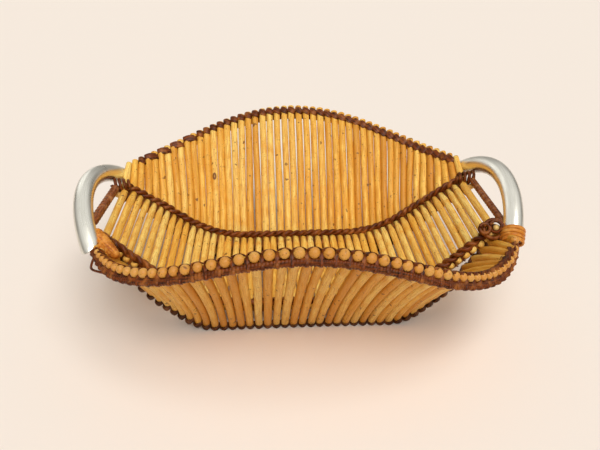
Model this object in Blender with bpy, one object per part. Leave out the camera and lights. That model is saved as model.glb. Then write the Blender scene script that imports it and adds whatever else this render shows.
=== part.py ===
"""Boat-shaped rattan storage basket with two bent aluminium tube handles.

A floor mat of sticks curves up at both ends. A fanned wall of sticks stands
along its front edge and another along its back edge. Cane lashings hold the
walls at the base, along the floor's edges and at the rims. Metres, +Z up, the
front of the basket faces -Y and the handles lie at -X and +X.
"""
import math

import bpy
from mathutils import Matrix, Vector

# Sticks
STICK_COUNT = 49
STICK_PITCH = 0.00605
FOOT_STICK_DIAMETER = 0.0054
TIP_STICK_DIAMETER = 0.0062
STICK_GAP = 0.0006
FLOOR_STICK_DIAMETER = 0.0050
STICK_SIDES = 6
CLEARANCE = 0.0003
FOOT_CLEARANCE = 0.0005
FUSE_DEPTH = 0.0006
STICK_RING_SHARES = (0.0, 0.3, 0.64)
TIP_TAPER_SHARE = 0.72
EDGE_ROD_SIDES = 5
RAIL_STEP = 2

# Floor mat: a flat middle, a bend and a straight ramp at each end
FLOOR_HEIGHT = 0.0165
FLOOR_FLAT_HALF = 0.0393
FLOOR_BEND_RADIUS = 0.080
FLOOR_RAMP_ANGLE = math.radians(38.4)
EDGE_HALF_DEPTH_MIDDLE = 0.0479
EDGE_HALF_DEPTH_END = 0.0398
EDGE_ROUNDING_POWER = 4
FLOOR_STICK_OVERHANG = 0.0014
EDGE_ROD_DIAMETER = 0.0042
EDGE_ROD_INSET = 0.0046
FRONT_ROD_STUB = 0.0040
BACK_ROD_STUB = 0.0130

# Base line that the feet of the wall sticks stand on
BASE_FLAT_HALF = 0.0560
BASE_BEND_RADIUS = 0.035
BASE_RAMP_ANGLE = math.radians(39.5)
FOOT_HEIGHT = 0.0026
FOOT_OUT_MIDDLE = 0.0002
FOOT_OUT_END = 0.0046
FOOT_DROP_END = 0.0066
FOOT_BLEND_START_SHARE = 0.7

# Curve of a wall stick from its foot to its tip
FOOT_LEAN = math.radians(30.0)
CHORD_PULL_MIDDLE_SHARE = 0.5
CHORD_PULL_GAIN_SHARE = 0.3
TIP_BOW = math.radians(18.0)
FOOT_REACH_SHARE = 0.25
TIP_REACH_SHARE = 0.30

# Rims, measured to the tips of the sticks
RIM_END_STRETCH_SHARE = 0.06
FRONT_FAN_SHARES = (0.011, 0.130, -0.170)
BACK_END_BEYOND = 0.0008
BACK_SPREAD_SHARE = 0.7
BACK_DEPTH_MIDDLE = 0.1328
BACK_DEPTH_END = 0.0665
BACK_HEIGHT_MIDDLE = 0.1004
BACK_HEIGHT_END = 0.0776
BACK_DEPTH_POWER = 1.0
BACK_HEIGHT_POWER = 2.5
FRONT_END_BEYOND = 0.0025
FRONT_SPREAD_SHARE = 0.68
FRONT_SHIFT = 0.0026
FRONT_LEAN = 0.0050
FRONT_DEPTH_MIDDLE = 0.1325
FRONT_DEPTH_END = 0.0635
FRONT_HEIGHT_MIDDLE = 0.1075
FRONT_HEIGHT_END = 0.0735
FRONT_DEPTH_POWER = 0.7
FRONT_HEIGHT_POWER = 2.9
FRONT_YAW = 0.0025
FRONT_SAG = 0.0035

# Lashings
FLOOR_ROPE_DIAMETER = 0.0040
FLOOR_ROPE_OVERHANG = 0.0040
RIM_DROP = 0.0052
RIM_RAIL_DIAMETER = 0.0058
RIM_OVERHANG = 0.0063
RIM_STRIP_THICKNESS = 0.0010
RIM_STRIP_WIDTH = 0.0052
RIM_TIE_THICKNESS = 0.0009
RIM_TIE_HEIGHT = 0.0024
BASE_WALL_THICKNESS = 0.0016
BASE_LASHING_HEIGHT = 0.0058
BASE_OVERHANG = 0.0012
BASE_TURN_START_SHARE = 0.5
BASE_TURN_END_SHARE = 0.85

# Handles: an arc of tube leaning outward between the corners of the rims
TUBE_DIAMETER = 0.0130
TUBE_WALL = 0.0012
TUBE_SIDES = 10
TUBE_SPANS = 13
HANDLE_BULGE = 0.0164
HANDLE_LEAN = math.radians(26.8)
HANDLE_SHIFT = 0.0007
HANDLE_FRONT_BEYOND = 0.0105
HANDLE_FRONT_OUT = 0.0059
HANDLE_FRONT_RISE = 0.0014
HANDLE_BACK_BEYOND = 0.0128
HANDLE_BACK_OUT = 0.0162
HANDLE_BACK_RISE = 0.0076
BINDING_THICKNESS = 0.0009
BINDING_LENGTH = 0.0060
BINDING_PAST_END = 0.0010
CROSS_ROD_DIAMETER = 0.0052
CROSS_ROD_BEYOND = 0.0076
CROSS_ROD_INSET = 0.0046

HALF_RUN = STICK_PITCH * (STICK_COUNT - 1) / 2
FLOOR_RAMP = HALF_RUN - FLOOR_FLAT_HALF - FLOOR_BEND_RADIUS * FLOOR_RAMP_ANGLE
FLOOR_BEND_LENGTH = FLOOR_BEND_RADIUS * math.sin(FLOOR_RAMP_ANGLE)
FLOOR_BEND_RISE = FLOOR_BEND_RADIUS * (1 - math.cos(FLOOR_RAMP_ANGLE))
FLOOR_END_X = FLOOR_FLAT_HALF + FLOOR_BEND_LENGTH + FLOOR_RAMP * math.cos(FLOOR_RAMP_ANGLE)
FLOOR_END_Z = FLOOR_HEIGHT + FLOOR_BEND_RISE + FLOOR_RAMP * math.sin(FLOOR_RAMP_ANGLE)
BACK_HALF_LENGTH = FLOOR_END_X + BACK_END_BEYOND
FRONT_HALF_LENGTH = FLOOR_END_X + FRONT_END_BEYOND
FOOT_STICK_RADIUS = FOOT_STICK_DIAMETER / 2
TIP_STICK_RADIUS = TIP_STICK_DIAMETER / 2
FLOOR_STICK_RADIUS = FLOOR_STICK_DIAMETER / 2
EDGE_ROD_DROP = FLOOR_STICK_RADIUS + EDGE_ROD_DIAMETER / 2 - FUSE_DEPTH
FRONT = -1
BACK = 1


def clear_scene():
    for item in list(bpy.data.objects):
        bpy.data.objects.remove(item, do_unlink=True)


def make_material(name, colour, roughness, metallic=0.0):
    """Principled material with one colour."""
    made = bpy.data.materials.new(name)
    made.use_nodes = True
    shader = made.node_tree.nodes["Principled BSDF"]
    shader.inputs["Base Color"].default_value = (*colour, 1.0)
    shader.inputs["Roughness"].default_value = roughness
    shader.inputs["Metallic"].default_value = metallic
    made.diffuse_color = (*colour, 1.0)
    return made


def make_object(name, verts, faces, paint):
    """Object from points and faces, one material."""
    mesh = bpy.data.meshes.new(name)
    mesh.from_pydata([tuple(v) for v in verts], [], faces)
    mesh.validate()
    mesh.update()
    mesh.materials.append(paint)
    made = bpy.data.objects.new(name, mesh)
    bpy.context.scene.collection.objects.link(made)
    return made


def boolean(target, cutter, operation):
    """Apply an exact boolean to the target and remove the other object."""
    step = target.modifiers.new(operation.lower(), "BOOLEAN")
    step.operation = operation
    step.solver = "EXACT"
    step.object = cutter
    graph = bpy.context.evaluated_depsgraph_get()
    result = bpy.data.meshes.new_from_object(target.evaluated_get(graph))
    target.modifiers.clear()
    old = target.data
    target.data = result
    result.name = target.name
    bpy.data.meshes.remove(old)
    bpy.data.objects.remove(cutter, do_unlink=True)
    return target


def blend(low, high, value):
    """Smooth step from zero at low to one at high."""
    share = min(max((value - low) / (high - low), 0), 1)
    return share * share * (3 - 2 * share)


def stick_share(index):
    """Place of a stick along its mat, from -1 at the left to 1 at the right."""
    return 2 * index / (STICK_COUNT - 1) - 1


def profile(run, flat, radius, angle, height):
    """Point and slope after a run along a flat, a bend and a straight ramp."""
    length = abs(run) - flat
    if length <= 0:
        return Vector((run, 0, height)), 0
    side = math.copysign(1, run)
    turn = min(length / radius, angle)
    ramp = length - turn * radius
    x = flat + radius * math.sin(turn) + ramp * math.cos(turn)
    z = height + radius * (1 - math.cos(turn)) + ramp * math.sin(turn)
    return Vector((side * x, 0, z)), side * turn


def slope_normal(slope):
    return Vector((-math.sin(slope), 0, math.cos(slope)))


def floor_frame(share, beyond=0.0):
    """Centre point of the floor mat, its normal and its half depth."""
    run = share * HALF_RUN + math.copysign(beyond, share)
    point, slope = profile(run, FLOOR_FLAT_HALF, FLOOR_BEND_RADIUS, FLOOR_RAMP_ANGLE, FLOOR_HEIGHT)
    rounding = abs(run / HALF_RUN) ** EDGE_ROUNDING_POWER
    depth = EDGE_HALF_DEPTH_MIDDLE - (EDGE_HALF_DEPTH_MIDDLE - EDGE_HALF_DEPTH_END) * rounding
    return point, slope_normal(slope), depth


def foot_frame(share, side, beyond=0.0):
    """Foot of a wall stick and the normal of the base line there."""
    run = share * HALF_RUN + math.copysign(beyond, share)
    base, slope = profile(run, BASE_FLAT_HALF, BASE_BEND_RADIUS, BASE_RAMP_ANGLE, FOOT_HEIGHT)
    point, normal, depth = floor_frame(share, beyond)
    weight = blend(FOOT_BLEND_START_SHARE, 1, abs(share))
    foot = base.lerp(point - normal * FOOT_DROP_END, weight)
    out = FOOT_OUT_MIDDLE + (FOOT_OUT_END - FOOT_OUT_MIDDLE) * share * share
    foot.y = side * (depth + out)
    return foot, slope_normal(slope).lerp(normal, weight).normalized()


def fanned(share, side):
    """Place along the rim of the stick that stands at a place along the floor."""
    if side == BACK:
        return share * (1 - RIM_END_STRETCH_SHARE * (1 - share ** 4))
    even, odd, fourth = FRONT_FAN_SHARES
    return share + (1 - share * share) * (even + odd * share + fourth * share * share)


def rim_tip(share, side):
    """Tip of a wall stick on the front or the back rim."""
    turn = fanned(share, side) * math.pi / 2
    swell = max(math.cos(turn), 0)
    if side == BACK:
        spread = math.sin(BACK_SPREAD_SHARE * turn) / math.sin(BACK_SPREAD_SHARE * math.pi / 2)
        depth = BACK_DEPTH_END + (BACK_DEPTH_MIDDLE - BACK_DEPTH_END) * swell ** BACK_DEPTH_POWER
        height = BACK_HEIGHT_END + (BACK_HEIGHT_MIDDLE - BACK_HEIGHT_END) * swell ** BACK_HEIGHT_POWER
        return Vector((BACK_HALF_LENGTH * spread, depth, height))
    spread = math.sin(FRONT_SPREAD_SHARE * turn) / math.sin(FRONT_SPREAD_SHARE * math.pi / 2)
    x = FRONT_HALF_LENGTH * spread + FRONT_SHIFT + FRONT_LEAN * swell
    depth = FRONT_DEPTH_END + (FRONT_DEPTH_MIDDLE - FRONT_DEPTH_END) * swell ** FRONT_DEPTH_POWER
    height = FRONT_HEIGHT_END + (FRONT_HEIGHT_MIDDLE - FRONT_HEIGHT_END) * swell ** FRONT_HEIGHT_POWER
    return Vector((x, -depth - FRONT_YAW * math.sin(turn), height - FRONT_SAG * math.sin(2 * turn)))


def wall_controls(share, side):
    """Four control points of the curve along a wall stick."""
    foot, _ = foot_frame(share, side)
    _, normal, _ = floor_frame(share)
    tip = rim_tip(share, side)
    outward = Vector((0, side, 0))
    length = (tip - foot).length
    chord = (tip - foot).normalized()
    pull = CHORD_PULL_MIDDLE_SHARE + CHORD_PULL_GAIN_SHARE * share * share
    start = normal * math.cos(FOOT_LEAN) + outward * math.sin(FOOT_LEAN)
    start = start.lerp(chord, pull).normalized()
    bow = TIP_BOW * math.cos(share * math.pi / 2)
    finish = Matrix.Rotation(bow, 3, chord.cross(outward).normalized()) @ chord
    near_foot = foot + start * length * FOOT_REACH_SHARE
    near_tip = tip - finish * length * TIP_REACH_SHARE
    return foot, near_foot, near_tip, tip


def wall_point(share, side, along):
    """Point and direction on a wall stick, along running from 0 to 1."""
    p0, p1, p2, p3 = wall_controls(share, side)
    rest = 1 - along
    point = p0 * rest ** 3 + p1 * (3 * rest * rest * along) + p2 * (3 * rest * along * along) + p3 * along ** 3
    pace = (p1 - p0) * rest * rest + (p2 - p1) * (2 * rest * along) + (p3 - p2) * along * along
    return point, pace.normalized()


def stick_radius(share, side, along):
    """Radius that grows from foot to tip, thinned where the next sticks leave less room."""
    radius = FOOT_STICK_RADIUS + (TIP_STICK_RADIUS - FOOT_STICK_RADIUS) * along
    point, direction = wall_point(share, side, along)
    step = 2 / (STICK_COUNT - 1)
    for other in (share - step, share + step):
        if abs(other) < 1 + step / 2:
            gap = wall_point(other, side, along)[0] - point
            gap -= direction * gap.dot(direction)
            radius = min(radius, (gap.length - STICK_GAP) / 2 / math.cos(math.pi / STICK_SIDES))
    return radius


def wall_frame(share, side, along):
    """Point, direction and outward normal of the wall at a stick."""
    point, direction = wall_point(share, side, along)
    step = 1 / STICK_COUNT
    before, _ = wall_point(max(share - step, -1), side, along)
    after, _ = wall_point(min(share + step, 1), side, along)
    outward = direction.cross(after - before).normalized()
    away = outward.x * point.x + outward.y * point.y
    return point, direction, outward if away > 0 else -outward


def along_from_tip(share, side, distance):
    """Curve parameter of the point that lies a distance below the tip."""
    _, _, p2, p3 = wall_controls(share, side)
    return 1 - distance / (3 * (p3 - p2).length)


def foot_axes(share, side, beyond=0.0):
    """Foot of a wall stick, its first direction, and the up and out axes of the base there."""
    foot, normal = foot_frame(share, side, beyond)
    start, _ = wall_point(share, side, 0)
    higher, _ = wall_point(share, side, STICK_RING_SHARES[1])
    direction = (higher - start).normalized()
    outward = Vector((0, side, 0))
    lean = math.atan2(direction.dot(outward), direction.dot(normal))
    turn = lean * blend(BASE_TURN_START_SHARE, BASE_TURN_END_SHARE, abs(share))
    up = normal * math.cos(turn) + outward * math.sin(turn)
    return foot, direction, up, outward * math.cos(turn) - normal * math.sin(turn)


def ring(centre, first, second, radius, sides):
    """Points of a regular ring in the plane of two unit directions."""
    turns = [2 * math.pi * k / sides for k in range(sides)]
    return [centre + (first * math.cos(t) + second * math.sin(t)) * radius for t in turns]


def skin(rings, offset=0, closed=False):
    """Faces that join equal rings in a row, with caps unless closed on itself."""
    sides = len(rings[0])
    faces = []
    for row in range(len(rings) - 1):
        for k in range(sides):
            a = offset + row * sides
            n = (k + 1) % sides
            faces.append((a + k, a + n, a + sides + n, a + sides + k))
    if closed:
        a = offset + (len(rings) - 1) * sides
        for k in range(sides):
            n = (k + 1) % sides
            faces.append((a + k, a + n, offset + n, offset + k))
        return faces
    faces.append(tuple(offset + k for k in reversed(range(sides))))
    faces.append(tuple(offset + (len(rings) - 1) * sides + k for k in range(sides)))
    return faces


def turn_outward(rings):
    """Reverse rings that wind the wrong way for outward faces."""
    first = rings[0]
    centre = sum(first, Vector()) / len(first)
    normal = (first[1] - first[0]).cross(first[2] - first[1])
    ahead = sum(rings[1], Vector()) / len(first) - centre
    return rings if normal.dot(ahead) > 0 else [list(reversed(r)) for r in rings]


def make_bodies(name, bodies, paint):
    """One object from several lists of rings."""
    verts = []
    faces = []
    for rings in bodies:
        rings = turn_outward(rings)
        faces.extend(skin(rings, len(verts)))
        verts.extend(point for one in rings for point in one)
    return make_object(name, verts, faces, paint)


def wall_stick_rings(share, side):
    """Six-sided stick with a foot cut level with the base and a rounded-in tip."""
    shares = list(STICK_RING_SHARES)
    shares += [along_from_tip(share, side, RIM_DROP), 1.0]
    frames = [wall_frame(share, side, along) for along in shares]
    last = len(frames) - 1
    rings = []
    for k, (point, _, outward) in enumerate(frames):
        direction = (frames[min(k + 1, last)][0] - frames[max(k - 1, 0)][0]).normalized()
        outward = (outward - direction * outward.dot(direction)).normalized()
        radius = stick_radius(share, side, shares[k]) * (TIP_TAPER_SHARE if k == last else 1)
        rings.append(ring(point, outward, direction.cross(outward), radius, STICK_SIDES))
    foot, direction, normal, _ = foot_axes(share, side)
    rings[0] = [v - direction * ((v - foot).dot(normal) / direction.dot(normal)) for v in rings[0]]
    return rings


def rod_rings(centres, outs, radius, sides):
    """Rings of a rod along points that all lie in planes holding the given directions."""
    rings = []
    last = len(centres) - 1
    for k, centre in enumerate(centres):
        ahead = (centres[min(k + 1, last)] - centres[max(k - 1, 0)]).normalized()
        first = (outs[k] - ahead * outs[k].dot(ahead)).normalized()
        rings.append(ring(centre, first, ahead.cross(first), radius, sides))
    return rings


def extended(points, distance):
    """The points with one more at each end, a distance further on."""
    start = points[0] + (points[0] - points[1]).normalized() * distance
    end = points[-1] + (points[-1] - points[-2]).normalized() * distance
    return [start] + points + [end]


def build_front_sticks(paint):
    """Separate sticks of the front wall."""
    for index in range(STICK_COUNT):
        rings = wall_stick_rings(stick_share(index), FRONT)
        make_bodies("front_stick_%02d" % (index + 1), [rings], paint)


def base_section(share, side, beyond, hollow):
    """Cross-section of the base lashing: a slanted channel or a solid bar."""
    foot, direction, normal, outward = foot_axes(share, side, beyond)
    lean = direction.dot(outward) / direction.dot(normal)
    widen = math.sqrt(1 + lean * lean)
    slot = (FOOT_STICK_RADIUS + CLEARANCE) * widen
    half = slot + BASE_WALL_THICKNESS * widen
    low = -FOOT_HEIGHT
    high = BASE_LASHING_HEIGHT - FOOT_HEIGHT

    def place(across, up):
        return foot + outward * (across + lean * up) + normal * up

    corners = [place(-half, low), place(half, low), place(half, high)]
    if hollow:
        corners += [place(slot, high), place(slot, -FOOT_CLEARANCE), place(-slot, -FOOT_CLEARANCE), place(-slot, high)]
    return corners + [place(-half, high)]


def base_sections(side, hollow):
    """Sections along the base, with one past each end."""
    steps = range(0, STICK_COUNT, 1 if hollow else RAIL_STEP)
    rows = [base_section(stick_share(k), side, 0.0, hollow) for k in steps]
    return [base_section(-1, side, BASE_OVERHANG, hollow)] + rows + [base_section(1, side, BASE_OVERHANG, hollow)]


def build_front_base_lashing(paint):
    """Channel that the front sticks stand in."""
    return make_bodies("front_base_lashing", [base_sections(FRONT, True)], paint)


def build_back_wall(stick_paint, bar_paint):
    """Sticks of the back wall, fused into the bar at their feet."""
    sticks = [wall_stick_rings(stick_share(k), BACK) for k in range(STICK_COUNT)]
    wall = make_bodies("back_wall", sticks, stick_paint)
    bar = make_bodies("back_bar", [base_sections(BACK, False)], bar_paint)
    return boolean(wall, bar, "UNION")


def build_floor_mat(paint):
    """Floor sticks fused to the two edge rods beneath them."""
    sticks = []
    for index in range(STICK_COUNT):
        point, normal, depth = floor_frame(stick_share(index))
        reach = Vector((0, depth + FLOOR_STICK_OVERHANG, 0))
        ends = [point - reach, point + reach]
        sticks.append(rod_rings(ends, [normal, normal], FLOOR_STICK_RADIUS, STICK_SIDES))
    rods = []
    for side in (FRONT, BACK):
        centres = []
        for index in range(0, STICK_COUNT, RAIL_STEP):
            point, normal, depth = floor_frame(stick_share(index))
            centre = point - normal * EDGE_ROD_DROP
            centre.y = side * (depth - EDGE_ROD_INSET)
            centres.append(centre)
        centres = extended(centres, FRONT_ROD_STUB if side == FRONT else BACK_ROD_STUB)
        outs = [Vector((0, 1, 0))] * len(centres)
        rods.append(rod_rings(centres, outs, EDGE_ROD_DIAMETER / 2, EDGE_ROD_SIDES))
    mat = make_bodies("floor_mat", sticks, paint)
    return boolean(mat, make_bodies("edge_rods", rods, paint), "UNION")


def build_floor_lashing(name, side, paint):
    """Twined rope along the inner corner between the floor and a wall."""
    centres = []
    outs = []
    lift = FLOOR_STICK_RADIUS + CLEARANCE + FLOOR_ROPE_DIAMETER / 2
    for index in range(0, STICK_COUNT, RAIL_STEP):
        point, normal, depth = floor_frame(stick_share(index))
        centre = point + normal * lift
        centre.y = side * depth
        centres.append(centre)
        outs.append(normal)
    centres = extended(centres, FLOOR_ROPE_OVERHANG)
    outs = [outs[0]] + outs + [outs[-1]]
    rings = rod_rings(centres, outs, FLOOR_ROPE_DIAMETER / 2, STICK_SIDES)
    return make_bodies(name, [rings], paint)


def box_rings(centre, ahead, first, second, half_first, half_second, half_length):
    """Two four-cornered rings of a box."""
    rings = []
    for reach in (-half_length, half_length):
        middle = centre + ahead * reach
        corners = ((1, 1), (-1, 1), (-1, -1), (1, -1))
        rings.append([middle + first * (half_first * a) + second * (half_second * b) for a, b in corners])
    return rings


def build_rim_lashing(name, side, paint):
    """Wrapped rod outside the rim and flat strip inside it, tied between the sticks."""
    frames = []
    for index in range(STICK_COUNT):
        share = stick_share(index)
        frames.append(wall_frame(share, side, along_from_tip(share, side, RIM_DROP)))
    rail_flat = RIM_RAIL_DIAMETER / 2 * math.cos(math.pi / STICK_SIDES)
    rail_out = TIP_STICK_RADIUS + CLEARANCE + rail_flat
    strip_in = TIP_STICK_RADIUS + CLEARANCE + RIM_STRIP_THICKNESS / 2
    rail = extended([p + o * rail_out for p, _, o in frames], RIM_OVERHANG)
    strip = extended([p - o * strip_in for p, _, o in frames], RIM_OVERHANG)
    ups = [frames[0][1]] + [d for _, d, _ in frames] + [frames[-1][1]]
    rail_rings = rod_rings(rail, ups, RIM_RAIL_DIAMETER / 2, STICK_SIDES)
    strip_rings = []
    for k, centre in enumerate(strip):
        _, _, outward = frames[min(max(k - 1, 0), STICK_COUNT - 1)]
        up = ups[k] * (RIM_STRIP_WIDTH / 2)
        thick = outward * (RIM_STRIP_THICKNESS / 2)
        strip_rings.append([centre + up + thick, centre + up - thick, centre - up - thick, centre - up + thick])
    half_tie = RIM_TIE_THICKNESS / 2
    half_height = RIM_TIE_HEIGHT / 2
    need = RIM_TIE_THICKNESS + 2 * CLEARANCE
    ties = []
    for end, near in ((0, 1), (-1, -2)):
        inner = strip[end] + (strip[near] - strip[end]).normalized() * half_tie
        outer = rail[end] + (rail[near] - rail[end]).normalized() * half_tie
        out = (outer - inner).normalized()
        across = ups[end].cross(out).normalized()
        half = (outer - inner).length / 2
        ties.append(box_rings((inner + outer) / 2, out, across, out.cross(across), half_tie, half_height, half))
    for k, ((p, d, o), (q, e, w)) in enumerate(zip(frames, frames[1:])):
        out = (o + w).normalized()
        up = (d + e).normalized()
        across = up.cross(out).normalized()
        width = sum(stick_radius(stick_share(n), side, 1) for n in (k, k + 1)) * math.cos(math.pi / STICK_SIDES)
        if abs((q - p).dot(across)) - width < need:
            continue
        inner = (p + q) / 2 - out * strip_in
        outer = (p + q) / 2 + out * (rail_out - rail_flat + FUSE_DEPTH)
        half = (outer - inner).length / 2
        ties.append(box_rings((inner + outer) / 2, out, across, up, half_tie, half_height, half))
    lashing = make_bodies(name, [rail_rings, strip_rings], paint)
    return boolean(lashing, make_bodies("ties", ties, paint), "UNION")


def handle_arc(side):
    """Middle of the handle's chord, its radius, its half angle and the axes of its plane."""
    front = Vector((side * (FLOOR_END_X + HANDLE_FRONT_BEYOND) + HANDLE_SHIFT,
                    -EDGE_HALF_DEPTH_END - HANDLE_FRONT_OUT, FLOOR_END_Z + HANDLE_FRONT_RISE))
    back = Vector((side * (FLOOR_END_X + HANDLE_BACK_BEYOND) + HANDLE_SHIFT,
                   EDGE_HALF_DEPTH_END + HANDLE_BACK_OUT, FLOOR_END_Z + HANDLE_BACK_RISE))
    half = (back - front).length / 2
    along = (back - front).normalized()
    lift = Vector((side * math.sin(HANDLE_LEAN), 0, math.cos(HANDLE_LEAN)))
    lift = (lift - along * lift.dot(along)).normalized()
    radius = (half * half + HANDLE_BULGE * HANDLE_BULGE) / (2 * HANDLE_BULGE)
    return (front + back) / 2, radius, math.atan2(half, radius - HANDLE_BULGE), along, lift


def handle_point(side, angle):
    """Centre of the handle tube at an angle along its arc, its direction and a normal."""
    middle, radius, half_angle, along, lift = handle_arc(side)
    rise = radius * (math.cos(angle) - math.cos(half_angle))
    point = middle + lift * rise + along * (radius * math.sin(angle))
    return point, along * math.cos(angle) - lift * math.sin(angle), lift.cross(along)


def handle_angles(side, steps, beyond=0.0):
    """Angles along the handle, from its front end to its back end, and past both by a length."""
    _, radius, half_angle, _, _ = handle_arc(side)
    reach = half_angle + beyond / radius
    return [reach * (2 * k / steps - 1) for k in range(steps + 1)]


def tube_rings(side, angles, radius):
    rings = []
    for angle in angles:
        centre, ahead, flat = handle_point(side, angle)
        rings.append(ring(centre, flat, ahead.cross(flat), radius, TUBE_SIDES))
    return rings


def build_handle(name, side, paint):
    """Bent tube, open at both ends."""
    angles = handle_angles(side, TUBE_SPANS)
    outer = turn_outward(tube_rings(side, angles, TUBE_DIAMETER / 2))
    inner = turn_outward(tube_rings(side, angles, TUBE_DIAMETER / 2 - TUBE_WALL))
    loop = outer + list(reversed(inner))
    verts = [point for one in loop for point in one]
    return make_object(name, verts, skin(loop, closed=True), paint)


def build_end_binding(name, side, paint):
    """Wrapped cross rod over the end of the floor, with a binding round each handle end."""
    sleeve_radius = TUBE_DIAMETER / 2 + CLEARANCE + BINDING_THICKNESS
    outer_turns = handle_angles(side, 1, BINDING_PAST_END)
    inner_turns = handle_angles(side, 1, -BINDING_LENGTH)
    sleeves = [tube_rings(side, sorted(pair), sleeve_radius) for pair in zip(outer_turns, inner_turns)]
    room = sorted(handle_angles(side, 1, 3 * BINDING_PAST_END) + handle_angles(side, TUBE_SPANS))
    core = tube_rings(side, room, TUBE_DIAMETER / 2 + CLEARANCE)
    point, normal, _ = floor_frame(side, CROSS_ROD_BEYOND)
    lift = CROSS_ROD_DIAMETER / 2 + CLEARANCE + EDGE_ROD_DIAMETER / 2 - EDGE_ROD_DROP
    front, back = [handle_point(side, angle)[0] for angle in handle_angles(side, 1)]
    middle = point + normal * lift
    path = [middle + Vector((0, front.y + CROSS_ROD_INSET, 0)), middle + Vector((0, back.y - CROSS_ROD_INSET, 0))]
    outs = [Vector((side, 0, 0))] * len(path)
    binding = make_bodies(name, [rod_rings(path, outs, CROSS_ROD_DIAMETER / 2, STICK_SIDES)], paint)
    binding = boolean(binding, make_bodies("sleeves", sleeves, paint), "UNION")
    return boolean(binding, make_bodies("core", [core], paint), "DIFFERENCE")


def build():
    """Build every sub-part."""
    clear_scene()
    rattan = make_material("rattan", (0.62, 0.36, 0.11), 0.5)
    floor_rattan = make_material("floor_rattan", (0.68, 0.42, 0.15), 0.5)
    dark_cane = make_material("dark_cane", (0.16, 0.05, 0.03), 0.45)
    orange_cane = make_material("orange_cane", (0.45, 0.17, 0.04), 0.5)
    aluminium = make_material("aluminium", (0.75, 0.74, 0.71), 0.3, 1.0)
    build_front_sticks(rattan)
    build_front_base_lashing(dark_cane)
    build_back_wall(rattan, dark_cane)
    build_floor_mat(floor_rattan)
    build_floor_lashing("front_floor_lashing", FRONT, dark_cane)
    build_floor_lashing("back_floor_lashing", BACK, dark_cane)
    build_rim_lashing("front_rim_lashing", FRONT, dark_cane)
    build_rim_lashing("back_rim_lashing", BACK, dark_cane)
    build_handle("left_handle", -1, aluminium)
    build_handle("right_handle", 1, aluminium)
    build_end_binding("left_end_binding", -1, orange_cane)
    build_end_binding("right_end_binding", 1, orange_cane)


build()
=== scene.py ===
"""Boat-shaped rattan basket with aluminium handles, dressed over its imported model.

Every piece is a surface worked out with numpy from the basket's own lines: the
floor line, the base line, the two rims and the arcs of the handles. Lengths are in
metres. Along those lines a share runs from minus one at the left to one at the right.
"""

import math

import bpy
import numpy as np
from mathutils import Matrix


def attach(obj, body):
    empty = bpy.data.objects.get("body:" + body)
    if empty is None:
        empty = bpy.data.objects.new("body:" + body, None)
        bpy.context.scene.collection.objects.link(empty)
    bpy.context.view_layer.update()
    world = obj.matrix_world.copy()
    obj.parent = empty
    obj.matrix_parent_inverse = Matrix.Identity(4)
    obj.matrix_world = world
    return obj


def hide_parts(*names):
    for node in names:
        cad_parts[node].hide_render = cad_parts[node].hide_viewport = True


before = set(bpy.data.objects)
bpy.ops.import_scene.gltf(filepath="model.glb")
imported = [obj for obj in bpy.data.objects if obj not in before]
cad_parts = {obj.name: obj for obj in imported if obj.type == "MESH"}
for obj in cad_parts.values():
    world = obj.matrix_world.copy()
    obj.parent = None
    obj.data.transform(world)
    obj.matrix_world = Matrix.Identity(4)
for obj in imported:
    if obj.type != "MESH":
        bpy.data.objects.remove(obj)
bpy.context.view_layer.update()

# Floor mat
# Forty-nine peeled rattan sticks lie side by side from front to back. The mat is
# flat in the middle and climbs as a ramp at each end, and its ends are rubbed round.

STICKS = 49
PITCH = 0.00605
HALF_RUN = PITCH * (STICKS - 1) / 2
STICK_SIDES = 14
FLOOR_FLAT_HALF = 0.0393
FLOOR_BEND_RADIUS = 0.080
FLOOR_CLIMB = math.radians(38.4)
FLOOR_HEIGHT = 0.0165
FLOOR_HALF_DEPTH = 0.0479
FLOOR_NARROWING = 0.0081
FLOOR_RADIUS = 0.0027
FLOOR_RADIUS_SPREAD = 0.06
FLOOR_OVERHANG = 0.0014
FLOOR_OVERHANG_AT_ENDS = 0.0034
FLOOR_MIDDLE_RINGS = 13
FLOOR_ROUNDING = np.array([1.4, 1.3, 1.15, 0.85, 0.5, 0.2])
FLOOR_SWAY = 0.00022
FLOOR_SWAY_WAVE = 0.02
FLOOR_SHIFT = 0.00036
# The floor sticks take only the paler half of the tones: painted light for the mat that faces up.
FLOOR_PAINTED_LIGHT_TONES = 0.50
TONE_SHIFT = 61.0
END_GRAIN = (0.60, 0.26, 0.056, 1)
BUD_PLACE = (-0.0660, 0.0840, 0.0572)
BUD_SHARPNESS = (520.0, 270.0, 270.0)
shares = np.linspace(-1, 1, STICKS)
chance = np.random.default_rng(7)


def unit(v):
    """Vectors divided by their own lengths."""
    return v / np.linalg.norm(v, axis=-1, keepdims=True)


def smooth(low, high, value):
    """Three t squared minus two t cubed, from zero at low to one at high."""
    t = np.clip((value - low) / (high - low), 0, 1)
    return t * t * (3 - 2 * t)


def signed_power(value, power):
    """Size of a value raised to a power, with the sign kept."""
    return np.sign(value) * np.abs(value) ** power


def bent_line(run, flat, radius, angle, height):
    """Points and slope after a run along a flat, then an arc, then a straight ramp."""
    past = np.maximum(np.abs(run) - flat, 0)
    turn = np.minimum(past / radius, angle)
    climb = past - turn * radius
    x = np.minimum(np.abs(run), flat) + radius * np.sin(turn) + climb * np.cos(turn)
    z = height + radius * (1 - np.cos(turn)) + climb * np.sin(turn)
    return np.stack([np.sign(run) * x, 0 * x, z], -1), np.sign(run) * turn


def normal_of(slope):
    """Normal of a line in the xz plane that climbs at the slope."""
    return np.stack([-np.sin(slope), 0 * slope, np.cos(slope)], -1)


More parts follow.
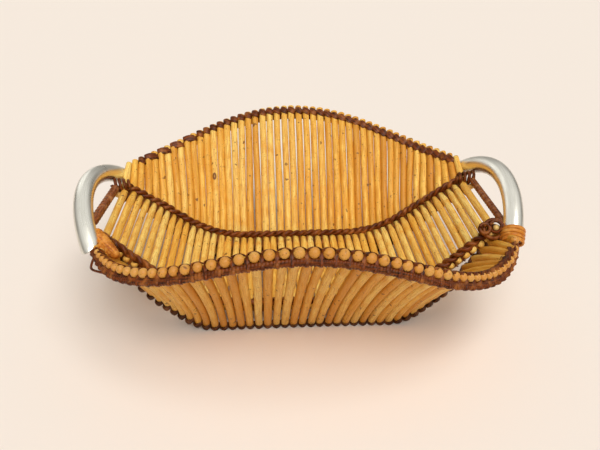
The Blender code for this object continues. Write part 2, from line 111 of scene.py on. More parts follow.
def floor_place(run):
    """Centre of the floor mat, its normal, and its half depth, which shrinks as the fourth power."""
    point, slope = bent_line(run, FLOOR_FLAT_HALF, FLOOR_BEND_RADIUS, FLOOR_CLIMB, FLOOR_HEIGHT)
    return point, normal_of(slope), FLOOR_HALF_DEPTH - FLOOR_NARROWING * (run / HALF_RUN) ** 4


def sweep(path, first, radius, sides=12, squash=1.0, power=1.0):
    """Tube grid: path plus radius times first cos t plus second sin t, square to the path.

    path is (tubes, rings, 3), radius broadcasts to (tubes, rings), squash thins it along
    first, and a power under one on the cosine and sine makes the section squarer."""
    ahead = unit(np.gradient(path, axis=1))
    first = unit(first - ahead * (first * ahead).sum(-1, keepdims=True))
    second = np.cross(ahead, first)
    t = np.arange(sides) * 2 * np.pi / sides
    wide = np.broadcast_to(radius, path.shape[:2])[..., None, None]
    thin = wide * np.broadcast_to(squash, path.shape[:2])[..., None, None]
    c, s = signed_power(np.cos(t), power), signed_power(np.sin(t), power)
    around = thin * first[..., None, :] * c[:, None] + wide * second[..., None, :] * s[:, None]
    return path[..., None, :] + around


def tubes(name, grid, finish, tone=None, shade_and_end_grain=None):
    """One mesh of closed tubes from a (tubes, rings, sides, 3) grid, UV round and along in metres."""
    count, rings, sides, _ = grid.shape
    index = np.arange(count * rings * sides).reshape(count, rings, sides)
    here, there = index[:, :-1], index[:, 1:]
    quads = np.stack([here, np.roll(here, -1, 2), np.roll(there, -1, 2), there], -1).reshape(-1, 4)
    mesh = bpy.data.meshes.new(name)
    caps = [list(c) for c in index[:, 0, ::-1]] + [list(c) for c in index[:, -1]]
    mesh.from_pydata(grid.reshape(-1, 3), [], quads.tolist() + caps)
    length = np.zeros((count, rings))
    length[:, 1:] = np.cumsum(np.linalg.norm(np.diff(grid.mean(2), axis=1), axis=-1), 1)
    k = np.arange(sides) / sides
    u = np.stack([k, k + 1 / sides, k + 1 / sides, k], -1)
    u = np.broadcast_to(u, (count, rings - 1, sides, 4))
    v = np.stack([length[:, :-1], length[:, :-1], length[:, 1:], length[:, 1:]], -1)
    v = np.broadcast_to(v[:, :, None], (count, rings - 1, sides, 4))
    sheet = mesh.uv_layers.new(name="cane")
    whole = np.zeros((len(mesh.loops), 2), np.float32)
    whole[:u.size] = np.stack([u.reshape(-1), v.reshape(-1)], -1)
    sheet.data.foreach_set("uv", whole.ravel())
    if tone is None:
        tone = chance.random(count)
    mark = mesh.attributes.new("tone", "FLOAT", "POINT")
    mark.data.foreach_set("value", np.repeat(tone, rings * sides).astype(np.float32))
    # How far each point faces out, which carries the painted shade, and the end-grain mark above one.
    if shade_and_end_grain is not None:
        mark = mesh.attributes.new("shade_and_end_grain", "FLOAT", "POINT")
        mark.data.foreach_set("value", shade_and_end_grain.ravel().astype(np.float32))
    mesh.polygons.foreach_set("use_smooth", np.ones(len(mesh.polygons), bool))
    mesh.materials.append(finish)
    mesh.update()
    piece = bpy.data.objects.new(name, mesh)
    bpy.context.scene.collection.objects.link(piece)
    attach(piece, "root")
    return piece


def principled(name):
    """New material with its node tree and its shader."""
    made = bpy.data.materials.new(name)
    made.use_nodes = True
    return made, made.node_tree, made.node_tree.nodes["Principled BSDF"]


def node(tree, kind, links=(), **values):
    """A shader node with its properties set and its inputs linked or filled."""
    made = tree.nodes.new(kind)
    for key, value in values.items():
        setattr(made, key, value)
    for socket, source in dict(links).items():
        if isinstance(source, bpy.types.NodeSocket):
            tree.links.new(source, made.inputs[socket])
        else:
            made.inputs[socket].default_value = source
    return made


def ramp(tree, source, *stops):
    """Colour ramp over pairs of place and colour."""
    made = node(tree, "ShaderNodeValToRGB", {"Fac": source})
    marks = made.color_ramp.elements
    for k, (place, colour) in enumerate(stops):
        mark = marks[k] if k < 2 else marks.new(place)
        mark.position = place
        mark.color = (*colour, 1)
    return made.outputs["Color"]


def greys(tree, source, *stops):
    """Ramp over pairs of place and grey level."""
    return ramp(tree, source, *((place, (level, level, level)) for place, level in stops))


def mixed(tree, share, low, high):
    """Colour mix of two sources by a share."""
    made = node(tree, "ShaderNodeMix", data_type="RGBA")
    for socket, source in ((0, share), (6, low), (7, high)):
        if isinstance(source, bpy.types.NodeSocket):
            tree.links.new(source, made.inputs[socket])
        else:
            made.inputs[socket].default_value = source
    return made.outputs[2]


def noise(tree, place, scale, detail):
    """Level of a noise at a place."""
    return node(tree, "ShaderNodeTexNoise", {"Vector": place, "Scale": scale, "Detail": detail}).outputs[0]


def times(tree, source, factor):
    """A level multiplied by a number."""
    return node(tree, "ShaderNodeMath", {0: source, 1: factor}, operation="MULTIPLY").outputs[0]


def along_cane(tree, round_count, along_count):
    """Vector of the UV stretched for streaks, shifted by the stick's own tone."""
    place = node(tree, "ShaderNodeSeparateXYZ", {0: node(tree, "ShaderNodeUVMap", uv_map="cane").outputs[0]})
    tone = node(tree, "ShaderNodeAttribute", attribute_name="tone").outputs["Fac"]
    x = times(tree, place.outputs[0], round_count)
    y = times(tree, place.outputs[1], along_count)
    z = times(tree, tone, TONE_SHIFT)
    return node(tree, "ShaderNodeCombineXYZ", {0: x, 1: y, 2: z}).outputs[0], tone


def bud_distance(tree, place):
    """Distance from the one dark bud scar on the back wall, one at its edge, longer up the stick."""
    gap = node(tree, "ShaderNodeVectorMath", {0: place, 1: BUD_PLACE}, operation="SUBTRACT").outputs[0]
    scaled = node(tree, "ShaderNodeVectorMath", {0: gap, 1: BUD_SHARPNESS}, operation="MULTIPLY").outputs[0]
    return node(tree, "ShaderNodeVectorMath", {0: scaled}, operation="LENGTH").outputs["Value"]


def peeled_rattan(name, light, deep, dark, outside, bleached):
    """Peeled rattan: long streaks and fine fibres, warm patches, pores, and a tone for each stick.

    An attribute mixes the side that faces out towards the browner outside colour, which is painted shade, and
    at two it marks cut end grain."""
    made, tree, shader = principled(name)
    streak_place, tone = along_cane(tree, 5.0, 30.0)
    fibre_place, _ = along_cane(tree, 22.0, 60.0)
    object_place = node(tree, "ShaderNodeTexCoord").outputs["Object"]
    streak = noise(tree, streak_place, 1.6, 4.0)
    fibre = noise(tree, fibre_place, 1.6, 3.0)
    patch = noise(tree, object_place, 95.0, 3.0)
    pore = noise(tree, object_place, 900.0, 2.0)
    spot = noise(tree, object_place, 260.0, 1.0)
    bud = bud_distance(tree, object_place)
    side = node(tree, "ShaderNodeAttribute", attribute_name="shade_and_end_grain").outputs["Fac"]
    end = node(tree, "ShaderNodeMath", {0: side, 1: 1.0}, operation="SUBTRACT", use_clamp=True).outputs[0]
    body = mixed(tree, greys(tree, streak, (0.36, 0), (0.62, 1)), light, deep)
    body = mixed(tree, greys(tree, tone, (0.0, 0.85), (0.45, 0)), body, bleached)
    body = mixed(tree, greys(tree, fibre, (0.45, 0), (0.70, 0.85)), body, outside)
    body = mixed(tree, greys(tree, patch, (0.50, 0), (0.70, 0.85)), body, deep)
    body = mixed(tree, greys(tree, tone, (0.5, 0), (1.0, 0.8)), body, outside)
    # Painted shade: the side of each stick that faces out is mixed towards the browner outside colour.
    body = mixed(tree, greys(tree, side, (0.45, 0), (1.0, 0.35)), body, outside)
    body = mixed(tree, greys(tree, end, (0.0, 0), (1.0, 0.88)), body, END_GRAIN)
    body = mixed(tree, greys(tree, pore, (0.64, 0), (0.72, 0.7)), body, dark)
    body = mixed(tree, greys(tree, spot, (0.69, 0), (0.76, 0.85)), body, dark)
    body = mixed(tree, greys(tree, bud, (0.2, 0.55), (0.55, 1), (0.75, 1), (0.95, 0)), body, dark)
    tree.links.new(body, shader.inputs["Base Color"])
    dull = greys(tree, streak, (0.3, 0.38), (0.7, 0.55))
    tree.links.new(mixed(tree, end, dull, (0.24, 0.24, 0.24, 1)), shader.inputs["Roughness"])
    shader.inputs["Specular IOR Level"].default_value = 0.28
    bump = node(tree, "ShaderNodeBump", {"Height": fibre, "Strength": 0.35, "Distance": 0.0005})
    tree.links.new(bump.outputs[0], shader.inputs["Normal"])
    return made


def floor_grid():
    """Sticks from edge to edge, each with its own sway, shift and size, their ends quarter rounds."""
    point, normal, depth = floor_place(shares * HALF_RUN)
    reach = depth + FLOOR_OVERHANG + FLOOR_OVERHANG_AT_ENDS * shares ** 4
    turns, ends = FLOOR_ROUNDING, len(FLOOR_ROUNDING)
    rings = np.concatenate([-1 + 0 * turns, np.linspace(-1, 1, FLOOR_MIDDLE_RINGS), 1 + 0 * turns])
    y = rings[None] * reach[:, None]
    y[:, :ends] += FLOOR_RADIUS * (1 - np.sin(turns))
    y[:, ends] += FLOOR_RADIUS
    y[:, -ends - 1] -= FLOOR_RADIUS
    y[:, -ends:] -= FLOOR_RADIUS * (1 - np.sin(turns))[::-1]
    path = np.repeat(point[:, None], y.shape[1], 1)
    path[..., 1] = y
    sway = chance.normal(0, FLOOR_SWAY, (STICKS, 1))
    sway = sway * np.sin(y / FLOOR_SWAY_WAVE + chance.random((STICKS, 1)) * 6)
    path[..., 0] += sway + chance.uniform(-FLOOR_SHIFT, FLOOR_SHIFT, (STICKS, 1))
    size = np.full(y.shape[1], FLOOR_RADIUS)
    size[:ends] *= np.cos(turns)
    size[-ends:] *= np.cos(turns[::-1])
    size = size * chance.normal(1, FLOOR_RADIUS_SPREAD, (STICKS, 1)).clip(0.86, 1.10)
    return sweep(path, np.repeat(normal[:, None], y.shape[1], 1), size, STICK_SIDES)


honey = peeled_rattan("honey_rattan", light=(0.95, 0.59, 0.11, 1), deep=(0.77, 0.37, 0.042, 1),
                      dark=(0.15, 0.045, 0.009, 1), outside=(0.56, 0.21, 0.015, 1),
                      bleached=(0.97, 0.74, 0.22, 1))
grid = floor_grid()
# Paler tones on the floor sticks: painted light.
floor_sticks = tubes("floor_sticks", grid, honey, FLOOR_PAINTED_LIGHT_TONES * chance.random(STICKS),
                     shade_and_end_grain=np.zeros(grid.shape[:3]))

# Edge rods
# A rod runs under the ends of the floor sticks along each edge of the mat. Its cut
# ends stand out past the last stick, pale and a little rounded.

WALLS = ((-1, "front"), (1, "back"))
ROD_DROP = 0.0040
ROD_INSET = 0.0046
ROD_RADIUS = 0.0022
ROD_RINGS = 60
STUB_LENGTHS = {"front": 0.0050, "back": 0.0100}
STUB_STEPS = np.array([0, 0.0002, 0.0008, 0.0024])
STUB_RADII = [0.0017, 0.0025, 0.0028]


def past_ends(line, first, last):
    """A line carried on straight past both ends by lists of distances."""
    start = line[0] + unit(line[0] - line[1]) * np.array(first)[:, None]
    end = line[-1] + unit(line[-1] - line[-2]) * np.array(last)[:, None]
    return np.concatenate([start, line, end])


pale = peeled_rattan("pale_rattan", light=(0.88, 0.62, 0.22, 1), deep=(0.78, 0.46, 0.12, 1),
                     dark=(0.30, 0.12, 0.03, 1), outside=(0.70, 0.36, 0.08, 1),
                     bleached=(0.9, 0.66, 0.26, 1))
for side, word in WALLS:
    point, normal, depth = floor_place(np.linspace(-1, 1, ROD_RINGS) * HALF_RUN)
    line = point - normal * ROD_DROP
    line[:, 1] = side * (depth - ROD_INSET)
    steps = STUB_LENGTHS[word] - STUB_STEPS
    rod = past_ends(line, steps, steps[::-1])
    size = np.full(len(rod), ROD_RADIUS)
    size[:3] = STUB_RADII
    size[-3:] = STUB_RADII[::-1]
    grid = sweep(rod[None], np.zeros(rod[None].shape) + [0, 1, 0], size, STICK_SIDES)
    edge_rod = tubes(word + "_edge_rod", grid, pale, shade_and_end_grain=np.zeros(grid.shape[:3]))
    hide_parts("floor_mat")
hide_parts("floor_mat")

# Wall sticks
# Each wall is a fan of forty-nine sticks that rise from the base, lean out and end
# along the rim: as polished round beads in front, as sawn pegs at the back.

BASE_FLAT_HALF = 0.0560
BASE_BEND_RADIUS = 0.035
BASE_CLIMB = math.radians(39.5)
BASE_HEIGHT = 0.0026
FEET_BELOW_FLOOR = 0.0034
FEET_OUT = 0.0002
FEET_OUT_AT_ENDS = 0.0044
FEET_TUCK = 0.0030
FEET_LOWEST = 0.0008
BACK_RIM_HALF = 0.13076
BACK_RIM_FAN = 0.7
BACK_RIM_END_Y = 0.0665
BACK_RIM_END_Z = 0.0776
BACK_RIM_SWELL_Y = 0.0663
BACK_RIM_SWELL_Z = 0.0228
FRONT_RIM_HALF = 0.13246
FRONT_RIM_FAN = 0.68
FRONT_RIM_SHIFT = 0.0026
FRONT_RIM_SHIFT_MIDDLE = 0.005
FRONT_RIM_END_Y = -0.0635
FRONT_RIM_END_Z = 0.0735
FRONT_RIM_SWELL_Y = 0.069
FRONT_RIM_SWELL_Z = 0.034
FRONT_RIM_SKEW_Y = 0.0025
FRONT_RIM_SKEW_Z = 0.0035
STICK_LEAN = math.radians(30)
STICK_BOW = math.radians(18)
FOOT_PULL = 0.25
TIP_PULL = 0.30
TIP_PACE = 3 * TIP_PULL
STICK_RINGS = 26
BEAD_TURNS = np.array([0.25, 0.5, 0.75, 1.0, 1.2, 1.38, 1.5])
BEAD_RADIUS = 0.0031
PEG_TURNS = np.array([0.02, 0.5, 1.0, 1.3, 1.42])
PEG_ROUNDING = 0.0004
FRONT_STICK_RADIUS = 0.0027
BACK_STICK_RADIUS = 0.0029
STICK_THICKENING = 0.0004
BACK_STICK_THINNING = 0.00016
STICK_RADIUS_SPREAD = 0.055
STICK_SWAY = 0.00030
STICK_SHIFT = 0.00012
SWELLING = 0.04
SWELLING_LENGTH = 0.0028


def base_place(run):
    """Feet of the wall sticks: the base line, blended near its ends into a line below the floor."""
    base, _ = bent_line(run, BASE_FLAT_HALF, BASE_BEND_RADIUS, BASE_CLIMB, BASE_HEIGHT)
    point, normal, depth = floor_place(run)
    share = run / HALF_RUN
    weight = smooth(0.7, 1, np.abs(share))[..., None]
    foot = base * (1 - weight) + (point - normal * FEET_BELOW_FLOOR) * weight
    out = depth + FEET_OUT + FEET_OUT_AT_ENDS * share ** 2 - FEET_TUCK * weight[..., 0]
    return foot, out


def rim_place(share, side):
    """Tips of the sticks: powers of the sine and cosine of a quarter turn each way."""
    if side > 0:
        turn = share * (1 - 0.06 * (1 - share ** 4)) * np.pi / 2
        swell = np.maximum(np.cos(turn), 0)
        x = BACK_RIM_HALF * np.sin(BACK_RIM_FAN * turn) / math.sin(BACK_RIM_FAN * math.pi / 2)
        y = BACK_RIM_END_Y + BACK_RIM_SWELL_Y * swell
        z = BACK_RIM_END_Z + BACK_RIM_SWELL_Z * swell ** 2.5
        return np.stack([x, y, z], -1)
    turn = (share + (1 - share ** 2) * (0.011 + 0.130 * share - 0.170 * share ** 2)) * np.pi / 2
    swell = np.maximum(np.cos(turn), 0)
    x = FRONT_RIM_HALF * np.sin(FRONT_RIM_FAN * turn) / math.sin(FRONT_RIM_FAN * math.pi / 2)
    x = x + FRONT_RIM_SHIFT + FRONT_RIM_SHIFT_MIDDLE * swell
    y = FRONT_RIM_END_Y - FRONT_RIM_SWELL_Y * swell ** 0.7 - FRONT_RIM_SKEW_Y * np.sin(turn)
    z = FRONT_RIM_END_Z + FRONT_RIM_SWELL_Z * swell ** 2.9 - FRONT_RIM_SKEW_Z * np.sin(2 * turn)
    return np.stack([x, y, z], -1)


def wall_place(share, side, along):
    """Cubic curve from foot to tip: leaves the floor leaning out and bows over towards the rim."""
    run = share * HALF_RUN
    foot, depth = base_place(run)
    foot[..., 1] = side * depth
    _, normal, _ = floor_place(run)
    tip = rim_place(share, side)
    out = np.zeros(foot.shape) + [0, side, 0]
    length = np.linalg.norm(tip - foot, axis=-1, keepdims=True)
    chord = (tip - foot) / length
    straight = (0.5 + 0.3 * share ** 2)[..., None]
    leaning = normal * math.cos(STICK_LEAN) + out * math.sin(STICK_LEAN)
    start = unit(leaning * (1 - straight) + chord * straight)
    axis = unit(np.cross(chord, out))
    bow = (STICK_BOW * np.cos(share * np.pi / 2))[..., None]
    finish = chord * np.cos(bow) + np.cross(axis, chord) * np.sin(bow)
    p1, p2 = foot + start * length * FOOT_PULL, tip - finish * length * TIP_PULL
    t = along[..., None]
    return (foot[:, None] * (1 - t) ** 3 + 3 * p1[:, None] * (1 - t) ** 2 * t
            + 3 * p2[:, None] * (1 - t) * t * t + tip[:, None] * t ** 3)


def wall_frames(share, side, along):
    """Points on the wall, their direction up the stick and the outward normal."""
    path = wall_place(share, side, along)
    up = unit(wall_place(share, side, along + 0.01) - wall_place(share, side, along - 0.01))
    left, right = np.maximum(share - 0.02, -1), np.minimum(share + 0.02, 1)
    over = wall_place(right, side, along) - wall_place(left, side, along)
    out = unit(np.cross(up, over))
    away = (out[..., :2] * path[..., :2]).sum(-1, keepdims=True)
    return path, up, out * np.sign(away)


def wall_length(share, side):
    """Straight distance from foot to tip."""
    foot = wall_place(share, side, np.zeros((share.size, 1)))[:, 0]
    return np.linalg.norm(rim_place(share, side) - foot, axis=-1)


def wall_room(share, side, along, up):
    """Distance to the nearer of the two next sticks, measured square to the stick."""
    path = wall_place(share, side, along)
    room = np.full(along.shape, 1.0)
    for step in (-2 / (STICKS - 1), 2 / (STICKS - 1)):
        gap = wall_place(np.clip(share + step, -1, 1), side, along) - path
        gap -= up * (gap * up).sum(-1, keepdims=True)
        away = np.linalg.norm(gap, axis=-1)
        room = np.minimum(room, np.where(np.abs(share + step)[:, None] > 1.001, 1.0, away))
    return room


def stick_radii(side, t, length, room):
    """Radius up each stick, with two swellings, a size of its own, and no more than there is room for."""
    if side < 0:
        size = FRONT_STICK_RADIUS + STICK_THICKENING * smooth(0, 1, t)
    else:
        spread = smooth(0.25, 0.6, np.abs(shares))[:, None]
        size = BACK_STICK_RADIUS - BACK_STICK_THINNING * t + STICK_THICKENING * spread
    for _ in range(2):
        knot = chance.uniform(0.15, 0.95, (STICKS, 1))
        size = size * (1 + SWELLING * np.exp(-((t - knot) * length[:, None] / SWELLING_LENGTH) ** 2))
    size = size * chance.normal(1, STICK_RADIUS_SPREAD, (STICKS, 1)).clip(0.87, 1.08)
    size = np.minimum(size, room / 2 + 0.00004)
    if side < 0:
        size[:, :-1] *= 0.975
    return size


def wall_sticks(side):
    """Grid of a wall's sticks, each with a slight sway and its own end, and how far each side faces out,
    which sets the painted shade.
    """
    length = wall_length(shares, side)
    end, tip_size = (BEAD_TURNS, BEAD_RADIUS) if side < 0 else (PEG_TURNS, PEG_ROUNDING)
    t = np.linspace(-0.02, 1, STICK_RINGS)[None] * np.ones((STICKS, 1))
    t = np.minimum(t, 1 - (tip_size / length)[:, None] / TIP_PACE)
    t[:, 1:] += np.arange(STICK_RINGS - 1) * 1e-6
    path, up, out = wall_frames(shares, side, t)
    room = wall_room(shares, side, t, up)
    phase = chance.random((STICKS, 2, 1)) * 6.28
    hump = np.sin(np.pi * t.clip(0, 1))
    sway = STICK_SWAY * np.sin(t * 6 + phase[:, 0]) * hump * chance.normal(0.6, 0.5, (STICKS, 1))
    sway = sway + chance.normal(0, STICK_SHIFT, (STICKS, 1))
    path = path + np.cross(up, out) * sway[..., None]
    path = path + out * (STICK_SWAY * np.sin(t * 5 + phase[:, 1]) * hump)[..., None]
    size = stick_radii(side, t, length, room)
    if side < 0:
        rise, thin = size[:, -1:] * np.sin(end), np.cos(end)
    else:
        rise, thin = PEG_ROUNDING * np.sin(end), 1 - 0.28 * (1 - np.cos(end)) - 0.7 * (end > 1.4)
    top = path[:, -1:] + up[:, -1:] * (rise + np.zeros((STICKS, 1)))[..., None]
    path = np.concatenate([path, top], 1)
    size = np.concatenate([size, size[:, -1:] * thin], 1)
    out = np.concatenate([out, np.repeat(out[:, -1:], len(end), 1)], 1)
    grid = sweep(path, out, size, STICK_SIDES)
    grid[..., 2] = np.maximum(grid[..., 2], FEET_LOWEST)
    # How far each side faces out sets the painted shade on the outward side; the end rings, above one, take
    # the end grain.
    facing = 0.5 + 0.5 * np.cos(np.arange(STICK_SIDES) * 2 * np.pi / STICK_SIDES) + np.zeros(grid.shape[:3])
    facing[:, -len(end):] = 1 + np.linspace(0.4, 1, len(end))[:, None]
    return grid, facing


grid, shade_and_end_grain = wall_sticks(-1)
front_sticks = tubes("front_sticks", grid, honey, shade_and_end_grain=shade_and_end_grain)
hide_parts(*["front_stick_%02d" % k for k in range(1, STICKS + 1)])
grid, shade_and_end_grain = wall_sticks(1)
tone = 0.70 * chance.random(STICKS) + 0.30 * smooth(-1, 0.7, shares)
back_sticks = tubes("back_sticks", grid, honey, tone, shade_and_end_grain)
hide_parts("back_wall")

# Base bands
# Two strands of dark cane are twined round the feet of each wall's sticks. They
# cross between one stick and the next, so each shows as a slanted turn on every other.
# Their cane is darker than the brown, partly its own colour and partly painted contact shadow.

BAND_SWING = 0.0034
BAND_SWING_ON_RAMPS = 0.0004
BAND_INSIDE = -0.3
BAND_INSET = 0.0001
BAND_LIFT = 0.0006
BAND_LIFT_ON_RAMPS = 0.0012
BAND_RADIUS = 0.0017
BAND_RADIUS_ON_RAMPS = 0.0008
BAND_RISE_ON_RAMPS = 0.0006
BAND_BELOW_FEET = 0.0004


def dark_cane(name, body, deep, painted_sheen):
    """Glossy split cane: fine fibres along the strand, lighter patches of painted sheen and a tone for each
    one.
    """
    made, tree, shader = principled(name)
    place, _ = along_cane(tree, 9.0, 45.0)
    object_place = node(tree, "ShaderNodeTexCoord").outputs["Object"]
    fibre = noise(tree, place, 2.0, 3.0)
    patch = noise(tree, object_place, 170.0, 3.0)
    colour = mixed(tree, greys(tree, fibre, (0.35, 0), (0.65, 1)), deep, body)
    # Painted sheen: random patches mixed towards a lighter colour stand in for highlights.
    colour = mixed(tree, greys(tree, patch, (0.5, 0), (0.72, 0.8)), colour, painted_sheen)
    tree.links.new(colour, shader.inputs["Base Color"])
    shader.inputs["Roughness"].default_value = 0.36
    shader.inputs["Specular IOR Level"].default_value = 0.15
    bump = node(tree, "ShaderNodeBump", {"Height": fibre, "Strength": 0.3, "Distance": 0.0004})
    tree.links.new(bump.outputs[0], shader.inputs["Normal"])
    return made


def base_band(side):
    """Two strands: each point circles the feet's line once in two sticks, flattened outward."""
    share = np.linspace(-1, 1, STICKS * 10)
    ramped = smooth(0.30, 0.55, np.abs(share))
    along = ((BAND_RISE_ON_RAMPS * ramped - BAND_BELOW_FEET) / wall_length(share, side))[:, None]
    line, up, out = (a[:, 0] for a in wall_frames(share, side, along))
    swing = BAND_SWING + BAND_SWING_ON_RAMPS * ramped
    lift = BAND_LIFT + BAND_LIFT_ON_RAMPS * ramped
    strands = []
    for start in (0, np.pi):
        turn = share * (STICKS - 1) / 2 * np.pi + start
        outward = swing * np.maximum(np.cos(turn), BAND_INSIDE) - BAND_INSET * (1 - ramped)
        strands.append(line + out * outward[:, None] + up * (lift * np.sin(turn))[:, None])
    size = BAND_RADIUS + BAND_RADIUS_ON_RAMPS * ramped
    grid = sweep(np.array(strands), np.array([out, out]), size, 10, squash=0.55 - 0.1 * ramped, power=0.8)
    grid[..., 2] = np.maximum(grid[..., 2], 0.0)
    return grid


brown = dark_cane("brown_cane", body=(0.205, 0.044, 0.0055, 1), deep=(0.022, 0.005, 0.0008, 1),
                  painted_sheen=(0.41, 0.135, 0.025, 1))
# Darker copy of the brown cane for the base bands: partly the band's own darker colour, partly painted shadow
# where the base meets the floor.
dark_and_shaded = dark_cane("dark_and_shaded_cane", body=(0.115, 0.036, 0.010, 1), deep=(0.022, 0.007, 0.002, 1),
                  painted_sheen=(0.23, 0.090, 0.032, 1))
front_band = tubes("front_base_band", base_band(-1), dark_and_shaded)
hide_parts("front_base_lashing")
back_band = tubes("back_base_band", base_band(1), dark_and_shaded)
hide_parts("back_wall")

# Corner lashings
# Twined cane fills the inner corner between the floor and each wall, and a loop in
# every gap ties it down to the edge rod below.

ROPE_LIFT = 0.0042
ROPE_DIP_AT_ENDS = 0.0006
ROPE_OUT = 0.0002
ROPE_OUT_AT_ENDS = 0.0008
ROPE_SWING_UP = 0.0013
ROPE_SWING_OUT = 0.0014
ROPE_RADIUS = 0.0016
TIE_DROP = 0.0016
TIE_INSET = 0.0044
TIE_HALF_HEIGHT = 0.0044
TIE_HALF_DEPTH = 0.0056
TIE_SLANT = 0.0020
TIE_RADIUS = 0.0010


def corner_rope(side):
    """Two strands circling a line in the corner, one turn in two sticks, thick and thin by turns."""
    run = np.linspace(-1.02, 1.02, STICKS * 8) * HALF_RUN
    ends = (run / HALF_RUN) ** 4
    point, normal, depth = floor_place(run)
    line = point + normal * (ROPE_LIFT - ROPE_DIP_AT_ENDS * ends)[:, None]
    line[:, 1] = side * (depth + ROPE_OUT + ROPE_OUT_AT_ENDS * ends)
    out = np.zeros(line.shape) + [0, side, 0]
    strands = []
    for start in (0, np.pi):
        turn = run / PITCH * np.pi + start
        upward, outward = ROPE_SWING_UP * np.cos(turn), ROPE_SWING_OUT * np.sin(turn)
        strands.append(line + normal * upward[:, None] + out * outward[:, None])
    lumps = np.interp(run, np.linspace(run[0], run[-1], STICKS * 2), chance.uniform(0.80, 1.22, STICKS * 2))
    return sweep(np.array(strands), np.array([normal, normal]), ROPE_RADIUS * lumps, 8, power=0.8)


def corner_ties(side):
    """Closed loops in the gaps: an ellipse round the rope above and the edge rod below."""
    run = (shares[:-1] + shares[1:]) / 2 * HALF_RUN
    point, normal, depth = floor_place(run)
    turn = np.linspace(0, 2 * np.pi, 25)
    out = np.zeros(point.shape) + [0, side, 0]
    centre = point - normal * TIE_DROP + out * (depth - TIE_INSET)[:, None]
    upward = TIE_HALF_HEIGHT * np.cos(turn)
    outward = TIE_HALF_DEPTH * np.sin(turn) + TIE_SLANT * np.cos(turn)
    path = centre[:, None] + normal[:, None] * upward[:, None] + out[:, None] * outward[:, None]
    side_on = np.cross(normal, out)
    return sweep(path, np.repeat(side_on[:, None], turn.size, 1), TIE_RADIUS, 6, squash=0.6)


for side, word in WALLS:
    rope = tubes(word + "_corner_rope", corner_rope(side), brown)
    ties = tubes(word + "_corner_ties", corner_ties(side), brown)
    for piece in (rope, ties):
        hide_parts(word + "_floor_lashing")

# Rim lashings
# A rod wrapped in fine cane runs outside the stick ends, just below them. A flat
# strand winds round rod and sticks, up through each gap and slanting across the next
# stick on the inside. Near the left of the back rim four turns take in two sticks each.

RIM_DROP = 0.0052
RIM_TAPER = 0.3
RIM_ROD_OUT = 0.0045
RIM_ROD_RADIUS = 0.0019
RIM_ROD_WRAPPING = 0.00078
WRAPS_PER_STICK = 4
RIM_ROD_LEFT_END = [0.0020, 0.0017, 0.001]
RIM_ROD_RIGHT_END = [0.002, 0.0040, 0.0043]
TURN_CENTRE_OUT = 0.0021
TURN_HALF_DEPTH = 0.0050
TURN_HALF_HEIGHT = 0.0031
TURN_LOWER_INSIDE = 0.0014
TURN_RISE_AT_LEFT = 0.0020
TURN_DIP = 0.0003
FACING_HALF_DEPTH = 0.0062
FACING_HALF_HEIGHT = 0.0034
STRAND_HALF_WIDTH = 0.0010
STRAND_WIDER_INSIDE = 0.0019
STRAND_HALF_THICKNESS = 0.00042
BACK_STOPS = np.concatenate([[1.5, 2.5, 4.5, 6.5, 8.5], np.arange(10.5, 48)])
RIM_STOPS = {"front": np.arange(0.5, 48), "back": BACK_STOPS}


def rim_line(share, side):
    """Points a little below the tips, with the direction up the stick and outward."""
    along = 1 - (RIM_DROP / wall_length(share, side) / TIP_PACE)[:, None]
    return tuple(a[:, 0] for a in wall_frames(share, side, along))


def rim_taper(share, side):
    """Share of the full thickness: the front rim grows thinner towards both ends."""
    return 1 - RIM_TAPER * smooth(0.72, 1.0, np.abs(share)) if side < 0 else 1 + 0 * share


def held(values, count=3):
    """First and last of the values repeated past the ends."""
    return np.concatenate([values[:1]] * count + [values] + [values[-1:]] * count)


def rim_rod(side):
    """Tube whose radius dips in a slanted helix: the grooves between the turns of the wrapping."""
    share = np.linspace(-1, 1, STICKS * 20)
    line, up, out = rim_line(share, side)
    taper = rim_taper(share, side)
    line = past_ends(line + out * (RIM_ROD_OUT * taper)[:, None], RIM_ROD_LEFT_END, RIM_ROD_RIGHT_END)
    sides = 16
    around = sweep(line[None], held(up)[None], 1.0, sides) - line[None, :, None]
    place = np.linspace(0.5, STICKS - 0.5, share.size)
    place = np.concatenate([[0, 0.02, 0.3], place, np.array([-0.3, -0.02, 0]) + STICKS])
    turn = place[:, None] * WRAPS_PER_STICK + np.arange(sides) / sides
    wrapping = RIM_ROD_WRAPPING * np.abs(np.sin(np.pi * turn)) ** 0.5
    size = (RIM_ROD_RADIUS + wrapping) * held(taper)[:, None]
    return line[None, :, None] + around * size[None, ..., None]


